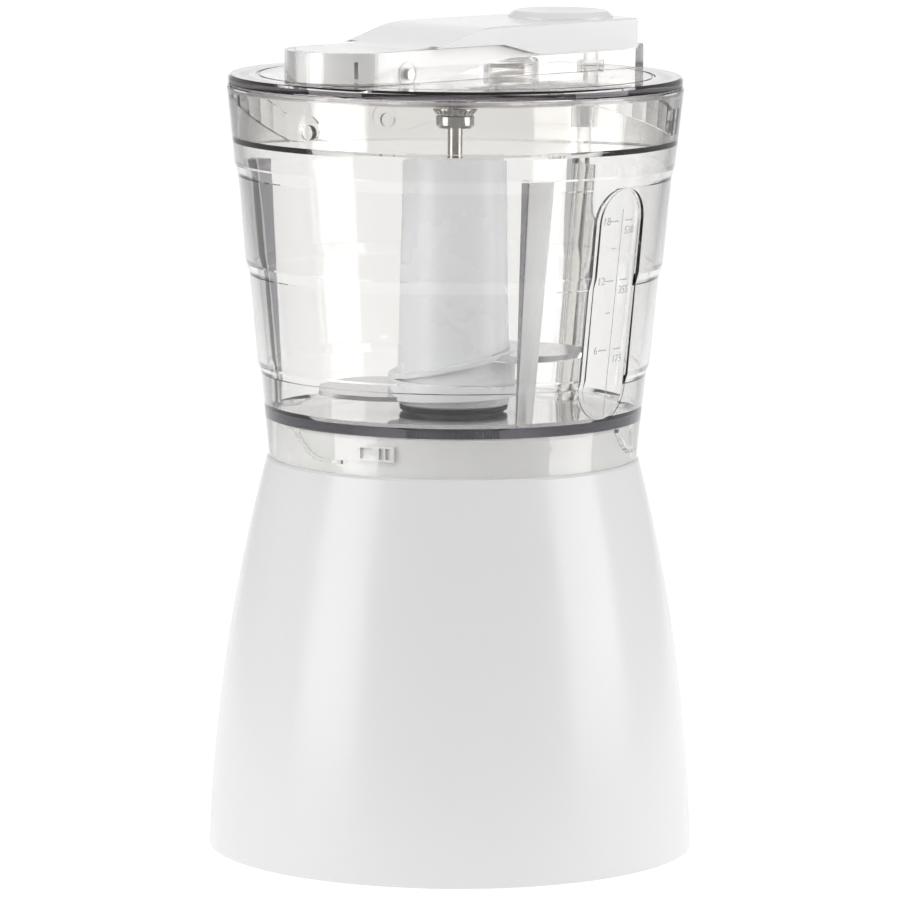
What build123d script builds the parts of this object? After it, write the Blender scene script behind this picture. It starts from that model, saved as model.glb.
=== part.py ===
from build123d import *
import os
from math import atan2, cos, degrees, hypot, radians, sin

# Mini food chopper: motor base, clear bowl with a bayonet foot, blade unit, and a clear
# bayonet lid with a press lever.  Millimetres.  The origin is on the bowl's axis at the
# feet's underside, +Z is up and the front faces -Y.  An azimuth is measured from the
# front towards +X.

# ---------------------------------------------------------------- driving dimensions
FOOT_PROUD = 1.5            # how far the feet lift the housing
BASE_RADIUS = 70.3          # housing at its lower edge
BASE_HEIGHT = 113.8         # housing from its lower edge to the ledge
SHELL = 2.5                 # wall of the moulded base parts
LEDGE_Z = FOOT_PROUD + BASE_HEIGHT
DECK_RADIUS = 50.8          # raised deck that the bowl's foot drops over
DECK_Z = 126.3
WELL_RADIUS = 20.0          # coupling well in the deck
WELL_Z = 112.5
GAP = 0.3                   # between parts that rest on each other but come apart

BOWL_WALL = 2.6
BOWL_FOOT_Z = LEDGE_Z + GAP
FLOOR_Z = 126.9             # underside of the bowl's floor
FLOOR_THICK = 2.9
BOWL_TOP_Z = 222.7
BOWL_OUTSIDE = [            # radius and height where each step of the wall begins and ends
    (53.4, BOWL_FOOT_Z), (55.8, 140.0), (56.7, 142.6), (59.2, 168.6), (60.3, 172.1),
    (62.6, 197.1), (63.6, 200.6), (65.8, 221.4),
]

HUB_BOTTOM_Z = 131.5
HUB_TOP_Z = 203.5
BLADE_HIGH_Z = 146.0
BLADE_LOW_Z = 134.4
BLADE_THICK = 1.4
SPINDLE_R = 4.0
ROD_R = 2.15                # slim end of the spindle that the lid steadies

LID_RADIUS = 65.5
LID_Z = BOWL_TOP_Z + GAP    # underside of the lid's disc
LID_TOP_Z = 225.7
SKIRT_RADIUS = 62.0
SKIRT_Z = 206.9
LUG_Z = 212.8
LUG_R = 2.2

TROUGH_TURN = 46.0          # the lever's trough runs this far from +X towards +Y
TROUGH_HALF = 17.5
TROUGH_WALL = 2.7
TROUGH_TOP_Z = 235.0
TROUGH_LOW_Z = 232.0
TROUGH_LEFT = -44.5         # centre of its round end, along the trough
LEVER_TOP_Z = 240.5
LEVER_HALF = 19.0           # outside of the lever's side skirts
LEVER_INNER = 14.3          # half width of the part that lies in the trough
LEVER_END_R = 60.0
HINGE_S = -36.0             # hinge pin, along the trough
HINGE_Z = 228.5
BUTTON_S = 44.0
CUP_S = 21.8                # return spring's cup, along the trough

ROD_AZ = 136.0              # the push rod stands where the trough meets the wall
ROD_BOTTOM = (48.6, 127.2)  # radius and height of the push rod's ends
ROD_TOP = (56.0, 200.2)
PUSH_R = 1.7
PANEL_AZ = 51.2             # field for the graduations
PANEL_WIDE = 19.5
PANEL_TALL = 66.5

PLUNGER_TOP_Z = 230.7
PLUNGER_BOTTOM_Z = 200.6

MOTOR_CORE_R = 38.0
BOLT_CIRCLE = 33.0          # bolts that clamp the motor's brackets to its core
MOUNT_CIRCLE = 42.0         # rubber mounts that hang the motor from the housing
POST_CIRCLE = 48.0          # posts on the base plate
SHAFT_R = 4.0


# ---------------------------------------------------------------- helpers
def turned(points):
    """Solid of revolution about Z from (radius, height) points."""
    outline = Polyline(*[(r, 0, z) for r, z in points], close=True)
    return revolve(make_face(outline), Axis.Z)


def tube(inner, outer, low, high):
    """Ring with a rectangular section."""
    return turned([(inner, low), (outer, low), (outer, high), (inner, high)])


def rod(radius, low, high, x=0.0, y=0.0):
    """Upright cylinder."""
    return Pos(x, y, low) * Cylinder(radius, high - low, align=(Align.CENTER, Align.CENTER, Align.MIN))


def block(x0, x1, y0, y1, z0, z1):
    """Box between two corners."""
    return Pos((x0 + x1) / 2, (y0 + y1) / 2, (z0 + z1) / 2) * Box(x1 - x0, y1 - y0, z1 - z0)


def at_azimuth(shape, azimuth):
    """Turn a shape built on the +X side to an azimuth."""
    return Rot(0, 0, azimuth - 90) * shape


def around(shape, count):
    """Copies of a shape, evenly spaced about Z."""
    return [Rot(0, 0, 360 * k / count) * shape for k in range(count)]


def sector(inner, outer, low, high, azimuth, half_angle):
    """Piece of a ring, centred on an azimuth."""
    section = make_face(Polyline(
        (inner, 0, low), (outer, 0, low), (outer, 0, high), (inner, 0, high), close=True))
    return at_azimuth(revolve(section, Axis.Z, 2 * half_angle), azimuth - half_angle)


def along_trough(shape):
    """Turn a shape built along +X into the trough's direction."""
    return Rot(0, 0, TROUGH_TURN) * shape


def side_profile(points, half_width):
    """Extrude an outline in the trough's upright middle plane to both sides."""
    outline = make_face(Polyline(*[(s, 0, z) for s, z in points], close=True))
    return extrude(outline, half_width, both=True)


def band_between(inner, outer, low_line, high_line, azimuths):
    """Piece of a ring whose lower and upper edges follow straight lines over azimuth."""
    pieces = []
    for start, end in zip(azimuths, azimuths[1:]):
        middle = radians((start + end) / 2)
        half = outer * sin(radians((end - start) / 2)) + 0.05
        face = make_face(Polyline(
            (-half, low_line(start)), (half, low_line(end)),
            (half, high_line(end)), (-half, high_line(start)), close=True))
        facing = Plane(origin=(inner * sin(middle), -inner * cos(middle), 0),
                       x_dir=(cos(middle), sin(middle), 0),
                       z_dir=(sin(middle), -cos(middle), 0))
        pieces.append(extrude(facing * face, outer - inner))
    return pieces


def save(shape, name):
    solids = shape if isinstance(shape, list) else shape.solids()
    whole = solids[0] if len(solids) == 1 else Compound(children=list(solids))
    export_step(whole, f"parts/{name}.step")


# ---------------------------------------------------------------- motor base
def housing_radius(height):
    """Outside radius of the housing at a height above its lower edge."""
    return BASE_RADIUS - 0.03 * height - 0.001 * height ** 2


def motor_housing():
    half = BASE_HEIGHT / 2
    inner_top = LEDGE_Z - SHELL
    low = (BASE_RADIUS, 0, FOOT_PROUD)
    mid = (housing_radius(half), 0, FOOT_PROUD + half)
    top = (housing_radius(BASE_HEIGHT), 0, LEDGE_Z - 0.6)
    inner_mid = (mid[0] - SHELL, 0, mid[2] - 1)
    inner_high = (top[0] - SHELL, 0, inner_top)
    inner_low = (BASE_RADIUS - SHELL, 0, FOOT_PROUD)
    outline = ThreePointArc(low, mid, top)
    outline += Polyline(
        top, (top[0] - 0.6, 0, LEDGE_Z), (DECK_RADIUS, 0, LEDGE_Z), (DECK_RADIUS, 0, DECK_Z - 0.6),
        (DECK_RADIUS - 0.6, 0, DECK_Z), (WELL_RADIUS, 0, DECK_Z), (WELL_RADIUS, 0, WELL_Z),
        (9, 0, WELL_Z), (9, 0, WELL_Z - SHELL), (WELL_RADIUS + SHELL, 0, WELL_Z - SHELL),
        (WELL_RADIUS + SHELL, 0, DECK_Z - SHELL), (DECK_RADIUS - SHELL, 0, DECK_Z - SHELL),
        (DECK_RADIUS - SHELL, 0, inner_top), inner_high)
    outline += ThreePointArc(inner_high, inner_mid, inner_low)
    outline += Line(inner_low, low)
    shell = revolve(make_face(outline), Axis.Z)
    shell -= tube(41.2, 44.8, DECK_Z - 1.3, DECK_Z + 1)
    for azimuth in (-25, 95, 215):
        shell += sector(DECK_RADIUS - 1, DECK_RADIUS + 1.1, 119.7, 124.2, azimuth, 6.5)
        for pocket, half_width in ((-2.9, 2.1), (2.3, 0.8), (4.5, 0.8)):
            shell -= sector(DECK_RADIUS + 0.1, DECK_RADIUS + 2, 120.4, 123.5, azimuth + pocket, half_width)
    guide_r, angle = 48.0, radians(ROD_AZ)
    x, y = guide_r * sin(angle), -guide_r * cos(angle)
    shell += rod(4.0, 106, DECK_Z - 1, x, y) & rod(DECK_RADIUS - 0.5, 100, DECK_Z)
    shell -= rod(2.3, 100, DECK_Z + 1, x, y)
    inlet = Pos(0, 60, 16) * Rot(90, 0, 0) * Cylinder(6, 30)
    shell -= inlet
    for boss_x, boss_y in corners(MOUNT_CIRCLE, 0):
        shell += rod(4.2, 96.5, DECK_Z - SHELL + 0.5, boss_x, boss_y)
        shell -= rod(1.4, 90, 108, boss_x, boss_y)
    return shell


def corners(radius, first=45):
    """Four places on a circle, the first at an angle from +X."""
    turns = [radians(first + 90 * k) for k in range(4)]
    return [(radius * cos(turn), radius * sin(turn)) for turn in turns]


def base_plate():
    plate = tube(0, BASE_RADIUS - SHELL - 0.2, FOOT_PROUD, FOOT_PROUD + SHELL)
    plate += tube(28, 30, FOOT_PROUD + SHELL, 12)
    for x, y in corners(56.0):
        plate -= rod(7.0, 0, FOOT_PROUD + 1.0, x, y)
    for hole in around(rod(2.0, 0, 6, POST_CIRCLE, 0) + rod(3.6, 0, FOOT_PROUD + 1.0, POST_CIRCLE, 0), 4):
        plate -= hole
    return plate


def rubber_feet():
    foot = turned([(0, 0), (6.0, 0), (6.6, 0.6), (6.8, FOOT_PROUD + 1.0), (0, FOOT_PROUD + 1.0)])
    return [Pos(x, y, 0) * foot for x, y in corners(56.0)]


def base_screws():
    screw = turned([(0, 2.0), (3.4, 2.0), (3.4, 2.5), (1.9, 2.5), (1.9, 14), (0, 14)])
    return around(Pos(POST_CIRCLE, 0, 0) * screw, 4)


def screw_posts():
    """Posts that stand on the base plate and carry the motor's lower bracket."""
    post = rod(4.5, FOOT_PROUD + SHELL, 22) - rod(1.9, 0, 30)
    return around(Pos(POST_CIRCLE, 0, 0) * post, 4)


def stator_core():
    ring = tube(25.0, MOTOR_CORE_R, 42, 74)
    for pole in (-1, 1):
        ring += block(-14, 14, pole * 27 - 5, pole * 27 + 5, 42, 74) - rod(21.0, 40, 76)
    for x, y in corners(BOLT_CIRCLE):
        ring -= rod(2.1, 40, 76, x, y)
    return ring


def field_coils():
    """Two coils, each wound round one pole of the core."""
    loop = block(-18.6, 18.6, 8, 24.3, 37.2, 78.8) - block(-14.3, 14.3, 7, 30, 41.8, 74.2)
    loop &= tube(20.8, 24.8, 30, 90)
    return around(loop, 2)


def lower_bracket():
    bar = block(-52, 52, -8, 8, 22, 25) + block(-8, 8, -52, 52, 22, 25)
    bar += rod(12, 22, 33)
    bar += tube(29.5, 36, 22, 25)
    for x, y in corners(BOLT_CIRCLE):
        bar += rod(4, 22, 41.9, x, y)
        bar -= rod(2.1, 20, 43, x, y)
    bar -= rod(7, 25, 34) + rod(5, 20, 40)
    for hole in around(rod(1.9, 20, 30, POST_CIRCLE, 0), 4):
        bar -= hole
    return bar


def upper_bracket():
    bar = tube(7, 39, 92, 95) + tube(7, 12, 91.3, 94)
    for ear in around(block(34, MOUNT_CIRCLE + 4.2, -4.2, 4.2, 92, 95), 4):
        bar += ear
    for x, y in corners(MOUNT_CIRCLE, 0):
        bar -= rod(3.0, 90, 96, x, y)
    for x, y in corners(BOLT_CIRCLE):
        bar += rod(4, 74.1, 94, x, y)
        bar -= rod(2.1, 70, 96, x, y)
    return bar


def bracket_bolts():
    bolt = rod(2.0, 20, 96) + rod(3.5, 95, 97.5)
    return [Pos(x, y, 0) * bolt for x, y in corners(BOLT_CIRCLE)]


def rubber_mounts():
    """Grommets between the motor's upper bracket and the housing's bosses."""
    grommet = tube(1.6, 2.95, 91, 96) + tube(1.6, 4.2, 90.5, 92) + tube(1.6, 4.2, 95, 96.5)
    return [Pos(x, y, 0) * grommet for x, y in corners(MOUNT_CIRCLE, 0)]


def mount_screws():
    screw = rod(3.4, 88.3, 90.5) + rod(1.35, 90, 107)
    return [Pos(x, y, 0) * screw for x, y in corners(MOUNT_CIRCLE, 0)]


def bearing(low, high):
    return tube(SHAFT_R + 0.06, 7.0, low, high)


def brush_holders():
    holder = block(13.6, 26, -4.5, 4.5, 83, 90.5) - block(12, 24, -2.6, 2.6, 84.6, 89.2)
    return [holder, Rot(0, 0, 180) * holder]


def carbon_brushes():
    brush = block(12.6, 21, -2.5, 2.5, 84.7, 89.1)
    return [brush, Rot(0, 0, 180) * brush]


def rod_place(radius):
    """X and Y at the push rod's azimuth."""
    angle = radians(ROD_AZ)
    return radius * sin(angle), -radius * cos(angle)


def safety_switch():
    x, y = rod_place(48.0)
    body = Pos(x, y, 94) * Rot(0, 0, ROD_AZ) * Box(16, 6.5, 11)
    return body


def inlet_gland():
    """Rubber grommet for the mains lead, flush in the back of the housing."""
    sleeve = Rot(90, 0, 0) * (Cylinder(5.9, 9) + Pos(0, 0, 3.0) * Cylinder(7.6, 1.6))
    sleeve -= Rot(90, 0, 0) * Cylinder(3.2, 40)
    return Pos(0, 65.6, 16) * sleeve


def deck_seal():
    return tube(SHAFT_R + 0.07, 9.0, WELL_Z - SHELL, WELL_Z) + tube(4.4, 6.2, WELL_Z, WELL_Z + 0.8)


# ---------------------------------------------------------------- rotor
def motor_shaft():
    return turned([(0, 23), (3, 23), (SHAFT_R, 24), (SHAFT_R, 117.0), (SHAFT_R - 1, 118), (0, 118)])


def armature_core():
    core = tube(SHAFT_R, 20.2, 42, 74)
    slot = block(14, 21, -1.6, 1.6, 40, 76)
    for k in range(9):
        core -= Rot(0, 0, 40 * k) * slot
    return core


def armature_windings():
    crown = [(SHAFT_R + 3, 74), (18.5, 74), (19.3, 77), (16.5, 80), (SHAFT_R + 3, 80)]
    top = turned(crown)
    bottom = turned([(r, 116 - z) for r, z in crown])
    return [top, bottom]


def commutator():
    drum = tube(SHAFT_R, 12.2, 82.0, 90.5) - tube(8, 13, 80, 83.0)
    for k in range(12):
        drum -= Rot(0, 0, 30 * k) * block(11.6, 13, -0.3, 0.3, 82, 92)
    return drum


def cooling_fan():
    fan = tube(SHAFT_R, 8.5, 97.6, 107) + tube(SHAFT_R, 30, 105, 107)
    for k in range(8):
        fan += Rot(0, 0, 45 * k) * (block(8, 30, -0.8, 0.8, 99, 105.5))
    return fan


def claws(low, high, azimuth):
    """Three coupling claws, 30 degrees wide."""
    return around(sector(8.5, 16.8, low, high, azimuth, 15), 3)


def drive_coupling():
    plate = tube(SHAFT_R, 17.0, 113.6, 116.2) + tube(SHAFT_R, 7.5, 113.6, 119)
    for claw in claws(116.0, 122.0, 0):
        plate += claw
    return plate


# ---------------------------------------------------------------- bowl
def bowl_outline():
    """Wall section: up the outside, over the rim and down the inside to the foot."""
    outside = list(BOWL_OUTSIDE)
    rim = [(65.9, 222.0), (65.6, BOWL_TOP_Z), (65.2, BOWL_TOP_Z), (65.2, 221.2), (63.0, 221.2)]
    ledge = [(62.7, 208.2), (61.7, 206.6)]
    inside = [(r - BOWL_WALL, z - 0.4) for r, z in reversed(outside[1:7])]
    floor = [(r_wall_at(FLOOR_Z + FLOOR_THICK + 1.2), FLOOR_Z + FLOOR_THICK + 1.2),
             (50.9, FLOOR_Z + FLOOR_THICK)]
    under = [(9.0, FLOOR_Z + FLOOR_THICK), (9.0, FLOOR_Z), (r_wall_at(FLOOR_Z), FLOOR_Z),
             (outside[0][0] - 2.0 + 0.9, BOWL_FOOT_Z)]
    return outside + rim + ledge + inside + floor + under


def r_wall_at(z):
    """Inside radius of the lowest wall at a height."""
    (r0, z0), (r1, z1) = BOWL_OUTSIDE[0], BOWL_OUTSIDE[1]
    return r0 + (r1 - r0) * (z - z0) / (z1 - z0) - 2.1


def lid_slot_low(azimuth):
    """Lower edge of a lid slot: level at first, then rising to the rim."""
    return 210.2 + 0.316 * max(0.0, -47.4 - azimuth)


def lid_slot_high(azimuth):
    return 217.7 + 0.477 * max(0.0, -47.6 - azimuth)


def lid_slots():
    azimuths = [-88, -82, -76, -70, -64, -58, -52.5, -47.5, -43.5, -39.7]
    slot = band_between(61.0, 64.1, lid_slot_low, lid_slot_high, azimuths)
    half = (lid_slot_high(-40) - lid_slot_low(-40)) / 2
    end = Pos(61.0, 0, lid_slot_low(-40) + half) * Rot(0, 90, 0) * Cylinder(
        half, 3.1, align=(Align.CENTER, Align.CENTER, Align.MIN))
    slot.append(at_azimuth(end, -39.7))
    return slot


def rail_top(azimuth):
    """Upper edge of the foot's rail: level by the lug, then curving up to the floor."""
    return 119.3 + 0.037 * max(0.0, -44 - azimuth) ** 2


def foot_rails():
    """Rails inside the foot that draw the bowl down as it turns on to the base's lugs."""
    azimuths = [-58, -55.5, -53, -50.5, -48, -45, -41, -37]
    return band_between(51.15, 52.9, lambda azimuth: rail_top(azimuth) - 1.1, rail_top, azimuths)


def wall_rib():
    """Sawtooth rib: a radial face, sloping back into the wall, deeper at the top."""
    low_z, high_z = FLOOR_Z + 1, 200.2
    low = [(51.0, 0), (54.0, 0), (54.0, 4.2)]
    high = [(54.6, 0), (61.0, 0), (61.0, 7.6)]
    low_face = Pos(0, 0, low_z) * make_face(Polyline(*low, close=True))
    high_face = Pos(0, 0, high_z) * make_face(Polyline(*high, close=True))
    return at_azimuth(loft([low_face, high_face]), 20)


def leaning(radius, low, high):
    """Cylinder along the push rod's leaning axis, between two (radius, height) ends."""
    lean = degrees(atan2(high[0] - low[0], high[1] - low[1]))
    length = hypot(high[0] - low[0], high[1] - low[1])
    pole = Cylinder(radius, length, align=(Align.CENTER, Align.CENTER, Align.MIN))
    return at_azimuth(Pos(low[0], 0, low[1]) * Rot(0, lean, 0) * pole, ROD_AZ)


def on_rod_line(z):
    """Radius and height of a point on the push rod's axis."""
    share = (z - ROD_BOTTOM[1]) / (ROD_TOP[1] - ROD_BOTTOM[1])
    return (ROD_BOTTOM[0] + share * (ROD_TOP[0] - ROD_BOTTOM[0]), z)


def panel_window():
    """Round-ended column through the wall where the graduations stand."""
    window = SlotCenterToCenter(PANEL_TALL - PANEL_WIDE, PANEL_WIDE, rotation=90)
    facing = Plane(origin=(0, 0, 163.6), x_dir=(0, 1, 0), z_dir=(1, 0, 0))
    return at_azimuth(extrude(facing * window, 80), PANEL_AZ)


def panel_wall():
    """Plain cone of wall, without the steps, that carries the graduations."""
    cone = turned([(51.9, 128.0), (54.35, 128.0), (62.1, 200.0), (59.65, 200.0)])
    return cone & panel_window()


def bowl():
    shell = turned(bowl_outline())
    for slot in lid_slots():
        for k in range(3):
            shell -= Rot(0, 0, 120 * k) * slot
    for rail in foot_rails():
        for k in range(3):
            shell += Rot(0, 0, 120 * k) * rail
    for rib in around(wall_rib(), 3):
        shell += rib
    inner_limit = turned([(0, 100), (54, 100), (54, 118), (56, 140), (62, 200), (0, 200)])
    shell += leaning(3.5, on_rod_line(FLOOR_Z + 0.3), on_rod_line(196.4)) & inner_limit
    shell -= leaning(PUSH_R + 0.3, on_rod_line(110), on_rod_line(205))
    shell -= panel_window()
    return shell + panel_wall()


def floor_bearing():
    return turned([(SPINDLE_R + 0.07, 125.9), (11, 125.9), (11, FLOOR_Z), (9.0, FLOOR_Z),
                   (9.0, 129.8), (SPINDLE_R + 0.07, 129.8)])


def push_rod():
    return leaning(PUSH_R, ROD_BOTTOM, ROD_TOP)


# ---------------------------------------------------------------- blade unit
def blade_hub():
    """Tapered hub with a flange for each blade; the upper flange climbs to the right."""
    hub = turned([
        (SPINDLE_R, HUB_BOTTOM_Z), (14.8, HUB_BOTTOM_Z), (15.6, HUB_BOTTOM_Z + 0.5),
        (16.0, HUB_BOTTOM_Z + 1.5), (16.2, HUB_BOTTOM_Z + 8.5), (15.0, HUB_TOP_Z - 1.2),
        (14.7, HUB_TOP_Z - 0.4), (13.9, HUB_TOP_Z), (SPINDLE_R, HUB_TOP_Z)])
    lower_flange = [(-20, 133.3), (20, 134.7), (20, 136.7), (-20, 138.5)]
    upper_flange = [(-20, 137.8), (20, 146.3), (20, 147.7), (-20, 139.2)]
    web = [(-20, 136), (20, 136), (20, 147), (-20, 138.5)]
    for outline, reach in ((lower_flange, 18.9), (upper_flange, 18.9), (web, 17.4)):
        flange = side_profile(outline, 25) & rod(reach, 100, 170)
        hub += flange - rod(10, 90, 180)
    for low, side in ((BLADE_HIGH_Z, 1), (BLADE_LOW_Z, -1)):
        hub -= blade_blank(low, side)
    return hub


def blade_outline(z, set_back):
    """Sickle outline at a height, its cutting edge set back by a distance."""
    tip_y = -3.5 + set_back / 3
    front = ThreePointArc((9, -8.5 + set_back), (27, -11.5 + set_back), (38.4, tip_y))
    tip = ThreePointArc((38.4, tip_y), (38.6, 0.5), (36.5, 3.5))
    back = ThreePointArc((36.5, 3.5), (25, 7.5), (9, 7))
    return Pos(0, 0, z) * make_face(front + tip + back + Line((9, 7), (9, -8.5 + set_back)))


def blade_blank(height, side):
    """Sickle blade with a ground edge, leaning a little about its own length.

    side is +1 for the right-hand blade and -1 for the left-hand one.
    """
    plate = loft([blade_outline(0, 0), blade_outline(0.25, 0)])
    plate += loft([blade_outline(0.25, 0), blade_outline(BLADE_THICK, 2.4)])
    turn, lean = (-14, 8) if side > 0 else (186, -9)
    return Pos(0, 0, height) * Rot(0, 0, turn) * Rot(lean, 0, 0) * plate


def blade_spindle():
    return turned([(0, 121.5), (3, 121.5), (SPINDLE_R, 122.5), (SPINDLE_R, HUB_TOP_Z),
                   (ROD_R, HUB_TOP_Z), (ROD_R, 218.8), (1.9, 218.8), (1.9, 222.4), (0, 222.8)])


def base_ring():
    """Black seat ring under the hub."""
    return turned([(SPINDLE_R, 130.1), (14.8, 130.1), (15.4, 130.5), (15.6, HUB_BOTTOM_Z),
                   (SPINDLE_R, HUB_BOTTOM_Z)])


def driven_coupling():
    plate = tube(SPINDLE_R, 17.0, 122.8, 125.5)
    for claw in claws(116.8, 123.0, 60):
        plate += claw
    return plate


def spindle_nut():
    """Slotted steel nut on the spindle's slim end."""
    nut = turned([(ROD_R, 213.0), (4.8, 213.0), (5.6, 213.9), (5.6, 216.3), (5.2, 216.8), (ROD_R, 216.8)])
    for k in range(4):
        nut -= Rot(0, 0, 90 * k) * block(ROD_R + 0.5, 7, -1.4, 1.4, 212, 216.1)
    return nut


def spindle_crown():
    """Toothed steel cap under the lid, wider at its top."""
    cap = turned([(ROD_R, 217.0), (5.4, 217.0), (6.3, 218.2), (6.3, 218.6), (6.0, 218.8), (ROD_R, 218.8)])
    for k in range(24):
        cap -= Rot(0, 0, 15 * k) * block(5.1, 7.5, -0.33, 0.33, 216, 218.4)
    return cap


# ---------------------------------------------------------------- lid
def trough_wall():
    """Stadium wall of the trough, its top sloping down past the middle."""
    outer = rod(TROUGH_HALF, LID_TOP_Z - 0.5, 245, TROUGH_LEFT, 0)
    outer += block(TROUGH_LEFT, 70, -TROUGH_HALF, TROUGH_HALF, LID_TOP_Z - 0.5, 245)
    outer &= rod(63.4, 200, 250)
    inner_half = TROUGH_HALF - TROUGH_WALL
    inner = rod(inner_half, 200, 250, TROUGH_LEFT, 0)
    inner += block(TROUGH_LEFT, 70, -inner_half, inner_half, 200, 250)
    inner &= rod(60.8, 200, 250)
    below = side_profile([
        (-70, 200), (70, 200), (70, TROUGH_LOW_Z + 0.8), (61, TROUGH_LOW_Z + 0.8),
        (61, TROUGH_LOW_Z), (15, TROUGH_LOW_Z), (0, TROUGH_TOP_Z), (-70, TROUGH_TOP_Z)], 40)
    return (outer - inner) & below


def lid():
    disc = turned([
        (5.8, LID_Z), (59.6, LID_Z), (59.6, SKIRT_Z), (61.4, SKIRT_Z), (SKIRT_RADIUS, SKIRT_Z + 0.8),
        (SKIRT_RADIUS, LID_Z), (64.9, LID_Z), (LID_RADIUS, LID_Z + 0.5), (LID_RADIUS, LID_TOP_Z - 0.8),
        (64.8, LID_TOP_Z), (57.6, LID_TOP_Z), (57.3, LID_TOP_Z - 0.35), (56.7, LID_TOP_Z - 0.35),
        (56.4, LID_TOP_Z), (0, LID_TOP_Z), (0, 224.2), (3.6, 224.2), (3.6, 219.7), (5.2, 219.7), (5.8, LID_Z)])
    lug = Pos(59.8, 0, LUG_Z) * Rot(0, 90, 0) * Cylinder(
        LUG_R, 3.8, align=(Align.CENTER, Align.CENTER, Align.MIN))
    for k in range(3):
        disc += at_azimuth(lug, -40.7 + 120 * k)
    trough = trough_wall()
    trough -= Pos(HINGE_S, 0, HINGE_Z) * Rot(90, 0, 0) * Cylinder(1.5, 60)
    for side in (-1, 1):
        knuckle = Pos(HINGE_S, side * 15.95, HINGE_Z) * Rot(90, 0, 0) * Cylinder(3.4, 3.1)
        knuckle -= Pos(HINGE_S, 0, HINGE_Z) * Rot(90, 0, 0) * Cylinder(1.5, 60)
        trough += knuckle & block(-60, 0, -18, 18, LID_TOP_Z - 0.4, 240)
    disc += along_trough(trough)
    cup = turned([(6.6, LID_TOP_Z - 0.4), (8.1, LID_TOP_Z - 0.4), (8.1, 228.9), (7.7, 229.5),
                  (7.0, 229.5), (6.6, 229.1)])
    disc += along_trough(Pos(CUP_S, 0, 0) * cup)
    disc += along_trough(rod(4.0, 212, 227.6, ROD_TOP[0] - 0.2, 0))
    disc -= along_trough(rod(2.5, 200, 240, ROD_TOP[0] - 0.2, 0))
    return disc


def lid_bearing():
    """Bush in the lid's centre boss that steadies the spindle's tip."""
    return turned([(1.97, 219.7), (3.6, 219.7), (3.6, 224.2), (0, 224.2), (0, 223.2), (1.97, 223.2)])


def lid_gasket():
    return tube(63.35, 64.9, 221.5, BOWL_TOP_Z)


def hinge_pin():
    return along_trough(Pos(HINGE_S, 0, HINGE_Z) * Rot(90, 0, 0) * Cylinder(1.5, 34.8))


def lever_spring():
    """Return spring under the lever, standing in the lid's cup."""
    low, high, coil_r, wire_r = LID_TOP_Z + 0.7, 237.2, 5.6, 0.65
    path = Helix(pitch=(high - low) / 5, height=high - low, radius=coil_r)
    section = Plane(origin=path @ 0, z_dir=path % 0) * Circle(wire_r)
    coil = sweep(section, path=path)
    return along_trough(Pos(CUP_S, 0, low) * coil)


# ---------------------------------------------------------------- lever
def lever_top(steps=7):
    """Upper side of the lever: low at its tip, then an S-curve up to the level part."""
    low_s, high_s, low_z = -31.0, -3.0, 235.1
    points = []
    for k in range(steps + 1):
        share = k / steps
        rise = share * share * (3 - 2 * share)
        points.append((low_s + share * (high_s - low_s), low_z + rise * (LEVER_TOP_Z - low_z)))
    return [(-62, 234.9)] + points + [(70, LEVER_TOP_Z)]


def press_lever():
    inner_plan = rod(LEVER_INNER, 200, 260, TROUGH_LEFT, 0)
    inner_plan += block(TROUGH_LEFT, 70, -LEVER_INNER, LEVER_INNER, 200, 260)
    inner_plan &= rod(LEVER_END_R, 200, 260)
    outer_plan = block(-27, 70, -LEVER_HALF, LEVER_HALF, 200, 260) & rod(LEVER_END_R, 200, 260)
    top = lever_top()
    belly = [(70, 231.0), (7, 231.0), (-2, 230.0), (-17, 227.0), (-29, 226.3), (-70, 226.3)]
    skirt = [(70, 231.8), (15, 231.8), (0, 235.3), (-27, 235.3)]
    wall_clear = [(-40, 200), (70, 200), (70, 238.0), (10, 238.0), (0, 236.6), (-24, 235.75),
                  (-40, 235.2)]
    inner = inner_plan & side_profile(top + belly, 40)
    outer = outer_plan & side_profile([p for p in top if p[0] > -27] + skirt, 40)
    wall_gap = side_profile(wall_clear, LEVER_HALF - 1.1) - side_profile(wall_clear, LEVER_INNER)
    lever = (outer - wall_gap) + inner
    edges = [e for e in lever.edges() if e.center().Z > LEVER_TOP_Z - 0.2]
    lever = fillet(edges, 0.7)
    hollow = side_profile([
        (-57, 200), (51, 200), (51, 238.0), (-2, 238.0), (-8, 237.4), (-22, 233.5), (-30, 232.6),
        (-57, 232.4)], LEVER_INNER - 2.2)
    hollow &= rod(55.5, 100, 300) & block(-53, 60, -20, 20, 100, 300)
    hollow -= Pos(HINGE_S, 0, HINGE_Z) * Rot(90, 0, 0) * Cylinder(4.2, 40)
    lever -= hollow
    lever -= Pos(HINGE_S, 0, HINGE_Z) * Rot(90, 0, 0) * Cylinder(1.57, 60)
    lever -= rod(13.6, LEVER_TOP_Z - 0.7, 260, BUTTON_S, 0)
    return along_trough(lever)


def press_button():
    button = turned([(0, LEVER_TOP_Z - 0.7), (13.6, LEVER_TOP_Z - 0.7), (13.6, LEVER_TOP_Z),
                     (15.4, LEVER_TOP_Z), (15.3, LEVER_TOP_Z + 0.4), (13.7, LEVER_TOP_Z + 1.8),
                     (13.2, LEVER_TOP_Z + 2.0), (0, LEVER_TOP_Z + 2.0)])
    dish = Pos(0, 0, LEVER_TOP_Z + 2.0 + 58.4) * Sphere(60.0)
    return along_trough(Pos(BUTTON_S, 0, 0) * (button - dish))


def lid_plunger():
    plunger = rod(2.2, PLUNGER_BOTTOM_Z, PLUNGER_TOP_Z, ROD_TOP[0] - 0.2, 0)
    return along_trough(plunger)


def switch_plunger():
    x, y = rod_place(48.0)
    return rod(1.9, 103.5, 126.3, x, y)


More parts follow.
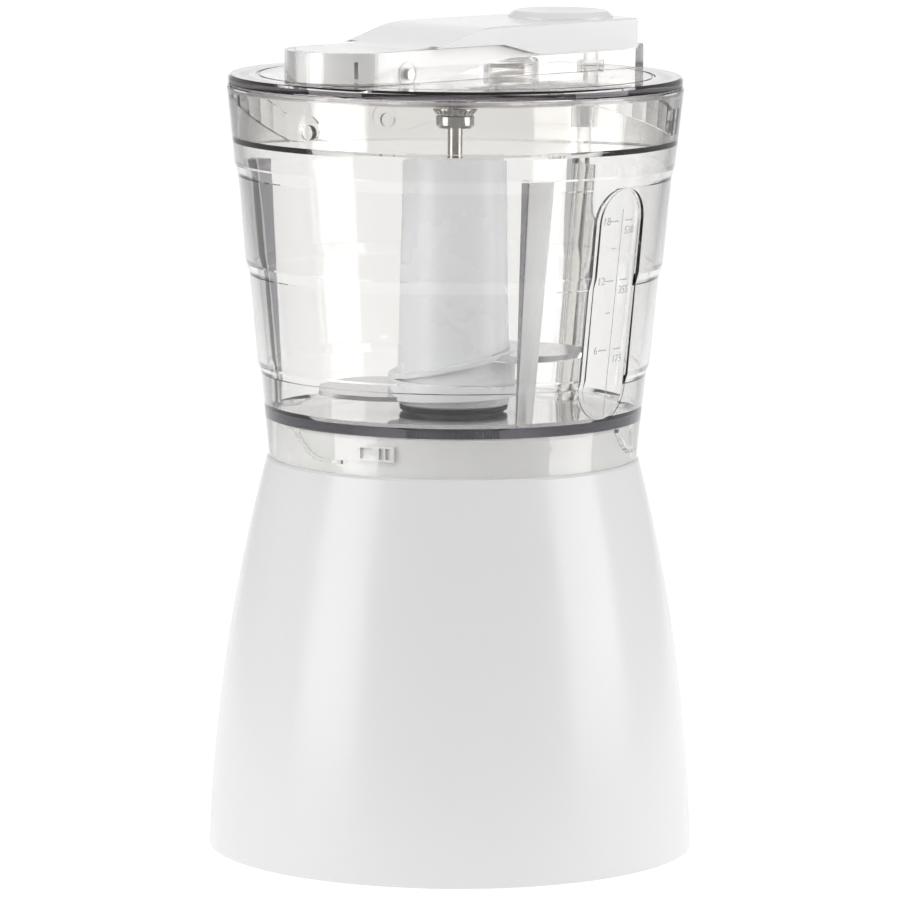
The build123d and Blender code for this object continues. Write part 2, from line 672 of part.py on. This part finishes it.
NODES = {
    "motor_housing": motor_housing, "base_plate": base_plate, "rubber_feet": rubber_feet,
    "base_screws": base_screws, "screw_posts": screw_posts, "stator_core": stator_core,
    "field_coils": field_coils, "lower_bracket": lower_bracket, "upper_bracket": upper_bracket,
    "bracket_bolts": bracket_bolts, "rubber_mounts": rubber_mounts, "mount_screws": mount_screws,
    "lower_bearing": lambda: bearing(25, 33), "upper_bearing": lambda: bearing(92.2, 96.5),
    "brush_holders": brush_holders, "carbon_brushes": carbon_brushes,
    "safety_switch": safety_switch, "inlet_gland": inlet_gland, "deck_seal": deck_seal,
    "motor_shaft": motor_shaft, "armature_core": armature_core,
    "armature_windings": armature_windings, "commutator": commutator, "cooling_fan": cooling_fan,
    "drive_coupling": drive_coupling, "bowl_gasket": lambda: tube(41.5, 44.5, 125.3, 126.6),
    "bowl": bowl, "floor_bearing": floor_bearing, "push_rod": push_rod,
    "switch_plunger": switch_plunger, "blade_hub": blade_hub, "blade_spindle": blade_spindle,
    "base_ring": base_ring, "driven_coupling": driven_coupling,
    "upper_blade": lambda: blade_blank(BLADE_HIGH_Z, 1),
    "lower_blade": lambda: blade_blank(BLADE_LOW_Z, -1),
    "spindle_nut": spindle_nut, "spindle_crown": spindle_crown, "lid": lid,
    "lid_bearing": lid_bearing, "lid_gasket": lid_gasket, "hinge_pin": hinge_pin,
    "lever_spring": lever_spring, "press_lever": press_lever, "press_button": press_button,
    "lid_plunger": lid_plunger,
}

os.makedirs("parts", exist_ok=True)
for node, make in NODES.items():
    save(make(), node)
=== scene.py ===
from math import cos, radians, sin, tau

import bmesh
import bpy
from mathutils import Matrix, Vector


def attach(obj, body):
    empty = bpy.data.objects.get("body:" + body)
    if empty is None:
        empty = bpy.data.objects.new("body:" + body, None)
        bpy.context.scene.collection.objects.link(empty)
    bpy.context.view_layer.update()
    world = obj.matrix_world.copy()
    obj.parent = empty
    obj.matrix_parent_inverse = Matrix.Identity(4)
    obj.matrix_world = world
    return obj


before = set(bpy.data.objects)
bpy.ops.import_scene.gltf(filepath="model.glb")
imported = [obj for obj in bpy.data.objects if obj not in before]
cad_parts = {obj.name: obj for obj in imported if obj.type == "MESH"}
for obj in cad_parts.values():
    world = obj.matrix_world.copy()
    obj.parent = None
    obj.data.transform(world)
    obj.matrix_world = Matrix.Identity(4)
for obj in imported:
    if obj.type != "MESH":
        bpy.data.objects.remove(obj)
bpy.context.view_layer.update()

MM = 0.001


# ---------------------------------------------------------------- node helpers
def rgba(red, green, blue):
    return (red, green, blue, 1.0)


def new_material(name):
    """New node material: returns it, its tree and its Principled shader."""
    material = bpy.data.materials.new(name)
    material.use_nodes = True
    tree = material.node_tree
    shader = next(n for n in tree.nodes if n.type == "BSDF_PRINCIPLED")
    return material, tree, shader


def node(tree, kind, **values):
    """Add a node; keys are input names, or attribute names where it has no such input."""
    made = tree.nodes.new(kind)
    for key, value in values.items():
        if key in made.inputs:
            made.inputs[key].default_value = value
        else:
            setattr(made, key, value)
    return made


def join(tree, start, out, end, socket):
    tree.links.new(start.outputs[out], end.inputs[socket])


def map_range(tree, source, out, start, end, low, high, interpolation="LINEAR"):
    """Map start..end on to low..high and hold the value beyond both ends."""
    mapped = node(tree, "ShaderNodeMapRange", interpolation_type=interpolation,
                  **{"From Min": start, "From Max": end, "To Min": low, "To Max": high})
    join(tree, source, out, mapped, "Value")
    return mapped


def product(tree, first, first_out, second, second_out):
    made = node(tree, "ShaderNodeMath", operation="MULTIPLY")
    join(tree, first, first_out, made, 0)
    join(tree, second, second_out, made, 1)
    return made


def mix_colours(tree, amount, plain, other):
    """Turn from the plain colour to the other one as a Math node's value rises."""
    mix = node(tree, "ShaderNodeMix", data_type="RGBA")
    mix.inputs["A"].default_value = rgba(*plain)
    mix.inputs["B"].default_value = rgba(*other)
    join(tree, amount, 0, mix, "Factor")
    return mix


def object_noise(tree, scale, detail, stretch=(1, 1, 1)):
    place = node(tree, "ShaderNodeTexCoord")
    mapping = node(tree, "ShaderNodeMapping", Scale=stretch)
    join(tree, place, "Object", mapping, "Vector")
    noise = node(tree, "ShaderNodeTexNoise", Scale=scale, Detail=detail)
    join(tree, mapping, "Vector", noise, "Vector")
    return noise


def spread(tree, noise, low, high):
    """Map noise, most of which lies between a quarter and three quarters, on to low..high."""
    return map_range(tree, noise, "Fac", 0.25, 0.75, low, high)


def uneven_gloss(tree, shader, noise, glossy, dull):
    """Let the roughness wander between two values."""
    join(tree, spread(tree, noise, glossy, dull), "Result", shader, "Roughness")


def add_bump(tree, shader, distance, *layers):
    """Chain one bump node for each (texture, strength) layer."""
    before = None
    for texture, strength in layers:
        bump = node(tree, "ShaderNodeBump", Strength=strength, Distance=distance)
        join(tree, texture, "Fac", bump, "Height")
        if before is not None:
            join(tree, before, "Normal", bump, "Normal")
        before = bump
    join(tree, before, "Normal", shader, "Normal")


def edge_wear(tree, shader, base, worn, radius):
    """Colour that turns to the worn one along sharp edges, broken up by noise."""
    bevel = node(tree, "ShaderNodeBevel", Radius=radius, samples=4)
    geometry = node(tree, "ShaderNodeNewGeometry")
    flatness = node(tree, "ShaderNodeVectorMath", operation="DOT_PRODUCT")
    join(tree, bevel, "Normal", flatness, 0)
    join(tree, geometry, "Normal", flatness, 1)
    edge = map_range(tree, flatness, "Value", 0.86, 0.995, 1.0, 0.0)
    broken = spread(tree, object_noise(tree, 900, 4), 0.0, 1.0)
    amount = product(tree, edge, "Result", broken, "Result")
    join(tree, mix_colours(tree, amount, base, worn), "Result", shader, "Base Color")


# ---------------------------------------------------------------- materials
def moulded_plastic(name, colour, worn, rough, grain, coat=0.0):
    """Opaque moulded plastic with faint flow marks, uneven gloss and rubbed edges."""
    material, tree, shader = new_material(name)
    edge_wear(tree, shader, colour, worn, 0.4 * MM)
    uneven_gloss(tree, shader, object_noise(tree, 38, 4), rough * 0.82, rough * 1.25)
    shader.inputs["IOR"].default_value = 1.5
    shader.inputs["Coat Weight"].default_value = coat
    shader.inputs["Coat Roughness"].default_value = 0.04
    flow_marks = object_noise(tree, 24, 2)
    fine_grain = object_noise(tree, 2600, 3)
    add_bump(tree, shader, 0.4 * MM, (flow_marks, 0.05), (fine_grain, grain))
    return material


def clear_plastic(name, tint, rough, absorb=None):
    """Clear moulded plastic with faint waves and fine scuffs.

    Shadow rays pass straight through it, so that what stands inside stays bright.
    absorb is the colour and the density of what it swallows, for a thick piece.
    """
    material, tree, shader = new_material(name)
    shader.inputs["Base Color"].default_value = rgba(*tint)
    shader.inputs["Transmission Weight"].default_value = 1.0
    shader.inputs["IOR"].default_value = 1.5
    uneven_gloss(tree, shader, object_noise(tree, 160, 5), rough, rough * 2.4)
    add_bump(tree, shader, 0.5 * MM, (object_noise(tree, 45, 2), 0.05))
    output = next(n for n in tree.nodes if n.type == "OUTPUT_MATERIAL")
    path = node(tree, "ShaderNodeLightPath")
    passing = node(tree, "ShaderNodeBsdfTransparent", Color=rgba(0.9, 0.9, 0.89))
    mix = node(tree, "ShaderNodeMixShader")
    join(tree, path, "Is Shadow Ray", mix, 0)
    join(tree, shader, "BSDF", mix, 1)
    join(tree, passing, "BSDF", mix, 2)
    join(tree, mix, "Shader", output, "Surface")
    if absorb is not None:
        colour, density = absorb
        volume = node(tree, "ShaderNodeVolumeAbsorption", Color=rgba(*colour), Density=density)
        join(tree, volume, "Volume", output, "Volume")
    return material


def brushed_metal(name, colour, rough, stretch, scratch):
    """Metal with grinding lines along one direction and brighter rubbed edges."""
    material, tree, shader = new_material(name)
    lighter = tuple(min(1.0, c * 1.25) for c in colour)
    edge_wear(tree, shader, colour, lighter, 0.3 * MM)
    shader.inputs["Metallic"].default_value = 1.0
    lines = object_noise(tree, 900, 3, stretch)
    uneven_gloss(tree, shader, lines, rough * 0.7, rough * 1.4)
    add_bump(tree, shader, 0.2 * MM, (lines, scratch))
    return material


def rubber(name, colour, rough=0.6):
    """Rubber with a fine tooth and slightly paler edges."""
    material, tree, shader = new_material(name)
    dusty = tuple(min(1.0, c + 0.05) for c in colour)
    edge_wear(tree, shader, colour, dusty, 0.3 * MM)
    uneven_gloss(tree, shader, object_noise(tree, 120, 4), rough * 0.85, min(1.0, rough * 1.2))
    shader.inputs["Specular IOR Level"].default_value = 0.2
    add_bump(tree, shader, 0.3 * MM, (object_noise(tree, 4000, 2), 0.25))
    return material


def wound_copper(name):
    """Enamelled winding wire, shown as close turns."""
    material, tree, shader = new_material(name)
    place = node(tree, "ShaderNodeTexCoord")
    turns = node(tree, "ShaderNodeTexWave", Scale=320.0, Distortion=0.6, bands_direction="Z")
    join(tree, place, "Object", turns, "Vector")
    ramp = node(tree, "ShaderNodeValToRGB")
    ramp.color_ramp.elements[0].color = rgba(0.18, 0.05, 0.02)
    ramp.color_ramp.elements[1].color = rgba(0.62, 0.24, 0.09)
    join(tree, turns, "Fac", ramp, "Fac")
    join(tree, ramp, "Color", shader, "Base Color")
    shader.inputs["Metallic"].default_value = 0.8
    shader.inputs["Roughness"].default_value = 0.35
    add_bump(tree, shader, 0.3 * MM, (turns, 0.5))
    return material


def grey(level):
    return (level, level, level)


def build_materials():
    """Every finish in the model, by a plain name."""
    return {
        "housing": moulded_plastic("housing_white", grey(0.7), grey(0.78), 0.22, 0.03),
        "lever": moulded_plastic("lever_white", grey(0.78), grey(0.85), 0.2, 0.04, coat=0.3),
        "hub": moulded_plastic("hub_white", (0.73, 0.74, 0.76), (0.82, 0.82, 0.83), 0.26, 0.04),
        "plate": moulded_plastic("plate_white", (0.7, 0.7, 0.69), (0.8, 0.8, 0.79), 0.5, 0.2),
        "dark": moulded_plastic("dark_plastic", (0.05, 0.05, 0.055), grey(0.12), 0.45, 0.2),
        "print": moulded_plastic("print_grey", grey(0.4), grey(0.5), 0.4, 0.05),
        "bowl": clear_plastic("clear_bowl", (0.985, 0.982, 0.965), 0.015, ((0.42, 0.4, 0.45), 36.0)),
        "lid": clear_plastic("clear_lid", (0.985, 0.98, 0.965), 0.015, ((0.42, 0.37, 0.43), 22.0)),
        "part": clear_plastic("clear_part", (0.94, 0.93, 0.92), 0.05),
        "rim_gasket": clear_plastic("rim_gasket", (0.7, 0.68, 0.7), 0.12),
        "frost": clear_plastic("frosted_film", grey(0.98), 0.42),
        # dark clear film on the ribs: painted shade for the dark line along each rib's edge
        "painted_rib_shade": clear_plastic("painted_rib_shade_film", (0.42, 0.41, 0.46), 0.1),
        "gasket": rubber("gasket_grey", (0.5, 0.49, 0.5), 0.5),
        "foot": rubber("foot_grey", (0.22, 0.22, 0.23)),
        "black": rubber("ring_black", (0.018, 0.017, 0.018), 0.4),
        "blade": brushed_metal("blade_steel", (0.72, 0.72, 0.73), 0.17, (0.2, 1.0, 1.0), 0.02),
        "spindle": brushed_metal("spindle_steel", (0.5, 0.48, 0.46), 0.13, (1, 1, 0.1), 0.04),
        "spring": brushed_metal("spring_steel", (0.3, 0.26, 0.22), 0.2, (1, 1, 1), 0.03),
        "iron": brushed_metal("motor_steel", (0.4, 0.41, 0.42), 0.4, (0.2, 0.2, 8.0), 0.3),
        "brass": brushed_metal("bearing_bronze", (0.62, 0.44, 0.2), 0.3, (1, 1, 1), 0.1),
        "copper": wound_copper("winding_copper"),
    }


NODES_IN = {
    "housing": ["motor_housing"],
    "lever": ["press_lever", "press_button"],
    "hub": ["blade_hub", "switch_plunger", "floor_bearing"],
    "plate": ["base_plate", "screw_posts"],
    "dark": ["safety_switch", "cooling_fan", "drive_coupling", "driven_coupling"],
    "bowl": ["bowl"],
    "lid": ["lid"],
    "part": ["lid_bearing", "push_rod", "lid_plunger"],
    "rim_gasket": ["lid_gasket"],
    "gasket": ["bowl_gasket"],
    "foot": ["rubber_feet", "inlet_gland"],
    "black": ["base_ring", "carbon_brushes", "rubber_mounts", "deck_seal"],
    "blade": ["upper_blade", "lower_blade"],
    "spindle": ["blade_spindle", "spindle_nut", "spindle_crown", "hinge_pin", "motor_shaft",
                "lower_bracket", "upper_bracket"],
    "spring": ["lever_spring"],
    "iron": ["base_screws", "bracket_bolts", "mount_screws", "stator_core", "armature_core"],
    "brass": ["lower_bearing", "upper_bearing", "brush_holders"],
    "copper": ["field_coils", "armature_windings", "commutator"],
}


def dress_cad_nodes(finishes):
    """Give every CAD node its finish."""
    for finish, names in NODES_IN.items():
        for name in names:
            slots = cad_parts[name].data.materials
            slots.clear()
            slots.append(finishes[finish])


# ---------------------------------------------------------------- printed and inner details
# Millimetres. Azimuths are degrees around the bowl's axis, from the front towards +X.
PANEL_AZIMUTH = 51.2            # middle of the field for the graduations
PANEL_LOW = (54.35, 128.0)      # radius and height of the field's cone at its foot
PANEL_HIGH = (62.1, 200.0)      # and at its head
PRINT_BACK, PRINT_FACE = 0.02, 0.09     # how far the print stands off the field
MARKS = (("18", "530", 187.6), ("12", "355", 170.5), ("6", "175", 150.6))   # fl oz, ml, height
HALF_MARKS = (179.8, 161.3)
MARK_NEAR = 1.6                 # from the middle line to the near end of a mark
MARK_FAR, HALF_MARK_FAR = 5.0, 3.6
MARK_THICK, HALF_MARK_THICK = 0.35, 0.3
MIDDLE_LINE_HALF = 0.12         # half the width of the upright line between both scales
MIDDLE_LINE_Z, MIDDLE_LINE_TALL = 160.9, 60.0
DIGIT_SIZE = 3.2
OUNCES_LEFT = {"18": -8.2, "12": -8.2, "6": -7.0}
MILLILITRES_LEFT = 1.4
MILLILITRES_DROP = 3.0          # the millilitres stand below their mark

RIB_AZIMUTHS = (20, 140, 260)   # the first one is the front rib
RIB_HIGH = 200.0
# A dark film on the upright face of each rib is painted shade: it draws the dark line along the
# rib's edge.
RIB_SHADE_LOW = 129.9
RIB_SHADE_RADII_LOW, RIB_SHADE_RADII_HIGH = (51.15, 51.8), (54.75, 60.0)    # inner and outer
RIB_SHADE_NEAR, RIB_SHADE_FAR = 0.06, 0.26      # how far both sides of the film stand off the rib
FROST_LOW = 130.2
FROST_THICK = 0.15


def around_axis(radius, azimuth, height):
    """Point in metres from millimetres and an azimuth."""
    turn = radians(azimuth)
    return Vector((radius * sin(turn), -radius * cos(turn), height)) * MM


def on_panel(across, height, proud):
    """Point on the graduation field, a little proud of its surface."""
    share = (height - PANEL_LOW[1]) / (PANEL_HIGH[1] - PANEL_LOW[1])
    radius = PANEL_LOW[0] + share * (PANEL_HIGH[0] - PANEL_LOW[0])
    azimuth = PANEL_AZIMUTH + across / radius * 360 / tau
    return around_axis(radius + proud, azimuth, height)


def add_piece(name, mesh, finish, body):
    piece = bpy.data.objects.new(name, mesh)
    bpy.context.scene.collection.objects.link(piece)
    mesh.materials.append(finish)
    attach(piece, body)


def closed_mesh(name, shapes):
    """One mesh of six-sided shapes, each a list of four corners below and four above."""
    sides = ((3, 2, 1, 0), (4, 5, 6, 7), (0, 1, 5, 4), (1, 2, 6, 5), (2, 3, 7, 6), (3, 0, 4, 7))
    build = bmesh.new()
    for corners in shapes:
        points = [build.verts.new(corner) for corner in corners]
        for side in sides:
            build.faces.new([points[i] for i in side])
    bmesh.ops.recalc_face_normals(build, faces=build.faces)
    mesh = bpy.data.meshes.new(name)
    build.to_mesh(mesh)
    build.free()
    return mesh


def printed_line(left, right, height, thick):
    """Corners of a printed line across the field: its back, then its face."""
    low, high = height - thick / 2, height + thick / 2
    outline = ((left, low), (right, low), (right, high), (left, high))
    return [on_panel(x, z, proud) for proud in (PRINT_BACK, PRINT_FACE) for x, z in outline]


def printed_number(text, left, height):
    """Printed digits wrapped on to the field, as a mesh."""
    curve = bpy.data.curves.new("digits", "FONT")
    curve.body = text
    curve.size = DIGIT_SIZE
    curve.extrude = (PRINT_FACE - PRINT_BACK) / 2
    curve.resolution_u = 3
    curve.align_y = "CENTER"
    words = bpy.data.objects.new("digits", curve)
    bpy.context.scene.collection.objects.link(words)
    bpy.context.view_layer.update()
    mesh = bpy.data.meshes.new_from_object(words)
    bpy.data.objects.remove(words)
    middle = (PRINT_FACE + PRINT_BACK) / 2
    for vertex in mesh.vertices:
        x, y, z = vertex.co
        vertex.co = on_panel(left + x, height + y, middle + z)
    return mesh


def graduations(finish):
    """Volume marks for 6, 12 and 18 fluid ounces, with half marks between."""
    heights = [height for _, _, height in MARKS]
    lines = [printed_line(-MARK_FAR, -MARK_NEAR, z, MARK_THICK) for z in heights]
    lines += [printed_line(-HALF_MARK_FAR, -MARK_NEAR, z, HALF_MARK_THICK) for z in HALF_MARKS]
    lines += [printed_line(MARK_NEAR, MARK_FAR, z, MARK_THICK) for z in heights]
    lines += [printed_line(-MIDDLE_LINE_HALF, MIDDLE_LINE_HALF, MIDDLE_LINE_Z, MIDDLE_LINE_TALL)]
    add_piece("graduation_lines", closed_mesh("graduation_lines", lines), finish, "bowl")
    numbers = [(ounces, OUNCES_LEFT[ounces], z) for ounces, _, z in MARKS]
    numbers += [(ml, MILLILITRES_LEFT, z - MILLILITRES_DROP) for _, ml, z in MARKS]
    for number, left, height in numbers:
        mesh = printed_number(number, left, height)
        add_piece("number_" + number, mesh, finish, "bowl")


def rib_shade_films(finish):
    """Dark clear film along the upright face of each rib inside the bowl: painted shade that draws
    the dark line along each rib's edge.
    """
    films = []
    for azimuth in RIB_AZIMUTHS:
        turn = radians(azimuth)
        aside = Vector((cos(turn), sin(turn), 0)) * MM
        near, far = -RIB_SHADE_NEAR * aside, -RIB_SHADE_FAR * aside
        film = []
        for height, radii in ((RIB_SHADE_LOW, RIB_SHADE_RADII_LOW), (RIB_HIGH, RIB_SHADE_RADII_HIGH)):
            inner, outer = (around_axis(radius, azimuth, height) for radius in radii)
            film += [inner + near, outer + near, outer + far, inner + far]
        films.append(film)
    add_piece("rib_shade_films", closed_mesh("rib_shade_films", films), finish, "bowl")


def frosted_rib(finish):
    """Frosted film over the sloping back of the front rib."""
    turn = Matrix.Rotation(radians(RIB_AZIMUTHS[0] - 90), 4, "Z")
    # the film's outer side from edge to edge, as (out, aside), at the rib's foot and at its head
    low = ((50.85, -0.05), (51.65, 4.6))
    high = ((54.4, -0.05), (59.8, 7.5))
    corners = []
    for height, (start, end) in ((FROST_LOW, low), (RIB_HIGH, high)):
        outline = [start, end, (end[0] - FROST_THICK, end[1]), (start[0] - FROST_THICK, start[1])]
        corners += [turn @ (Vector((x, y, height)) * MM) for x, y in outline]
    add_piece("frosted_rib", closed_mesh("frosted_rib", [corners]), finish, "bowl")


# ---------------------------------------------------------------- stage, light and camera
def paper():
    """White glowing sweep that dims to the sides and towards the front."""
    material, tree, shader = new_material("studio_paper")
    shader.inputs["Base Color"].default_value = rgba(0.5, 0.5, 0.5)
    shader.inputs["Roughness"].default_value = 0.9
    shader.inputs["Specular IOR Level"].default_value = 0.1
    shader.inputs["Emission Color"].default_value = rgba(1.0, 1.0, 1.0)
    place = node(tree, "ShaderNodeTexCoord")
    split = node(tree, "ShaderNodeSeparateXYZ")
    aside = node(tree, "ShaderNodeMath", operation="ABSOLUTE")
    join(tree, place, "Object", split, "Vector")
    join(tree, split, "X", aside, 0)
    sideways = map_range(tree, aside, 0, 0.3, 0.8, 0.84, 0.3, "SMOOTHSTEP")
    forwards = map_range(tree, split, "Y", -0.28, -0.6, 1.0, 0.1, "SMOOTHSTEP")
    glow = product(tree, sideways, "Result", forwards, "Result")
    join(tree, glow, 0, shader, "Emission Strength")
    return material


def backdrop():
    """Floor that curves up into a wall behind the object."""
    half_width, front, back, bend, high = 4.0, -4.0, 2.2, 0.8, 4.5
    steps = 12
    line = [(front, 0.0), (back - bend, 0.0)]
    for k in range(1, steps + 1):
        turn = radians(90 * k / steps)
        line.append((back - bend + bend * sin(turn), bend * (1 - cos(turn))))
    line.append((back, high))
    points = [(side * half_width, y, z) for y, z in line for side in (-1, 1)]
    faces = [(2 * k, 2 * k + 1, 2 * k + 3, 2 * k + 2) for k in range(len(line) - 1)]
    mesh = bpy.data.meshes.new("studio_floor")
    mesh.from_pydata(points, [], faces)
    for face in mesh.polygons:
        face.use_smooth = True
    mesh.materials.append(paper())
    floor = bpy.data.objects.new("studio_floor", mesh)
    bpy.context.scene.collection.objects.link(floor)


def sky():
    """Pale surroundings with a dim band in front of the object, over the horizon."""
    world = bpy.data.worlds.new("studio")
    world.use_nodes = True
    tree = world.node_tree
    place = node(tree, "ShaderNodeTexCoord")
    split = node(tree, "ShaderNodeSeparateXYZ")
    join(tree, place, "Generated", split, "Vector")
    ahead = map_range(tree, split, "Y", 0.35, -0.25, 0.0, 1.0)
    over_horizon = map_range(tree, split, "Z", 0.02, 0.2, 0.0, 1.0)
    under_zenith = map_range(tree, split, "Z", 0.5, 0.75, 1.0, 0.0)
    band = product(tree, ahead, "Result", over_horizon, "Result")
    dimness = product(tree, band, 0, under_zenith, "Result")
    mix = mix_colours(tree, dimness, (0.6, 0.6, 0.6), (0.1, 0.1, 0.11))
    join(tree, mix, "Result", tree.nodes["Background"], "Color")
    bpy.context.scene.world = world


def soft_box(name, place, target, size, power):
    light = bpy.data.lights.new(name, "AREA")
    light.shape = "RECTANGLE"
    light.size, light.size_y = size
    light.energy = power
    obj = bpy.data.objects.new(name, light)
    obj.location = place
    aim = Vector(target) - Vector(place)
    obj.rotation_euler = aim.to_track_quat("-Z", "Y").to_euler()
    bpy.context.scene.collection.objects.link(obj)


def studio():
    """Backdrop, sky, a tall box on each side for the upright highlights, and one overhead."""
    backdrop()
    sky()
    soft_box("key_left", (-1.33, -0.7, 0.55), (0, 0, 0.12), (0.9, 1.1), 12.5)
    soft_box("key_right", (1.48, -0.3, 0.55), (0, 0, 0.12), (1.0, 1.1), 13.5)
    soft_box("top_soft", (0.0, -0.85, 1.35), (0, 0, 0.15), (1.6, 0.5), 7)
    view = bpy.context.scene.view_settings
    view.view_transform = "Standard"
    view.exposure = -0.2


def place_camera():
    """Long lens, a little above the object and looking slightly down."""
    data = bpy.data.cameras.new("camera")
    data.lens = 249.4
    data.sensor_width = 36
    data.clip_end = 50
    camera = bpy.data.objects.new("camera", data)
    eye = (-0.0008, -1.792, 0.3627)
    pitch, roll = radians(7.82), radians(0.43)
    right = Vector((1, 0, 0))
    up = Vector((0, sin(pitch), cos(pitch)))
    forward = Vector((0, cos(pitch), -sin(pitch)))
    rolled_right = cos(roll) * right + sin(roll) * up
    rolled_up = cos(roll) * up - sin(roll) * right
    turn = Matrix((rolled_right, rolled_up, -forward)).transposed()
    camera.matrix_world = Matrix.Translation(eye) @ turn.to_4x4()
    bpy.context.scene.collection.objects.link(camera)
    bpy.context.scene.camera = camera


place_camera()
studio()
finishes = build_materials()
dress_cad_nodes(finishes)
graduations(finishes["print"])
# dark films on the ribs: painted shade along their edges
rib_shade_films(finishes["painted_rib_shade"])
frosted_rib(finishes["frost"])
